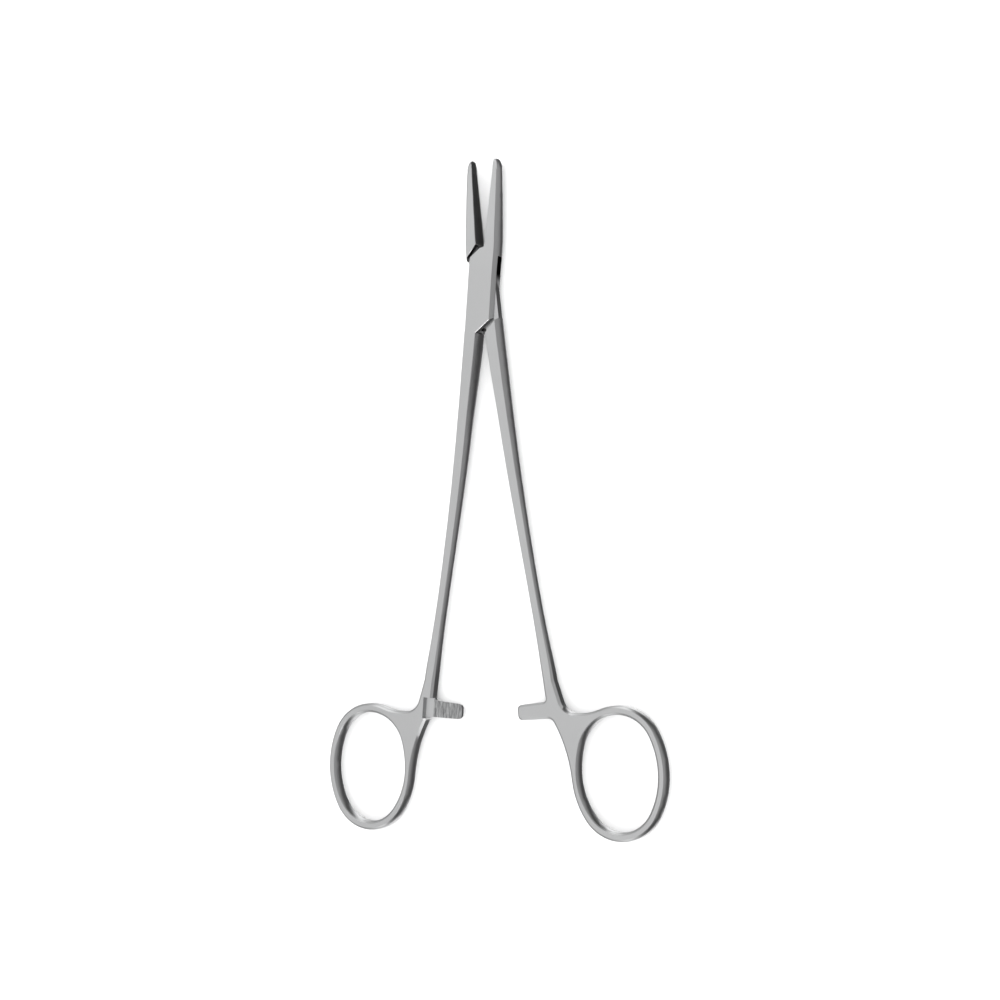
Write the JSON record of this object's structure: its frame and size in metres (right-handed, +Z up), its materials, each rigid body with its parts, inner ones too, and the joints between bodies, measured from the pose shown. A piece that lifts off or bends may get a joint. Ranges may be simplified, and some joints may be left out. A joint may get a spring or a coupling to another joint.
{
  "type": "surgical needle holder",
  "caption": "Straight ring-handled needle holder with a box lock, short cross-hatched jaws and a toothed ratchet between the shanks, lying open.",
  "frame": {"origin": "on the pivot axis, at the underside of the box lock, which the instrument lies on", "axes": "+Y along the instrument towards the jaw tips, +Z up along the pivot axis through the flat faces, +X to the right"},
  "size_m": [0.0994, 0.1788, 0.005],
  "materials": {
    "steel": "satin",
    "pin_steel": "satin"
  },
  "bodies": {
    "box_side": {"box_half": "steel", "pivot_pin": "pin_steel"},
    "tenon_side": {"tenon_half": "steel"}
  },
  "joints": [
    {"name": "box_lock", "type": "hinge", "parent": "box_side", "child": "tenon_side", "pos_m": [0, 0, 0.0025], "axis": [0, 0, 1], "range_deg": [-10.5, 38]}
  ]
}
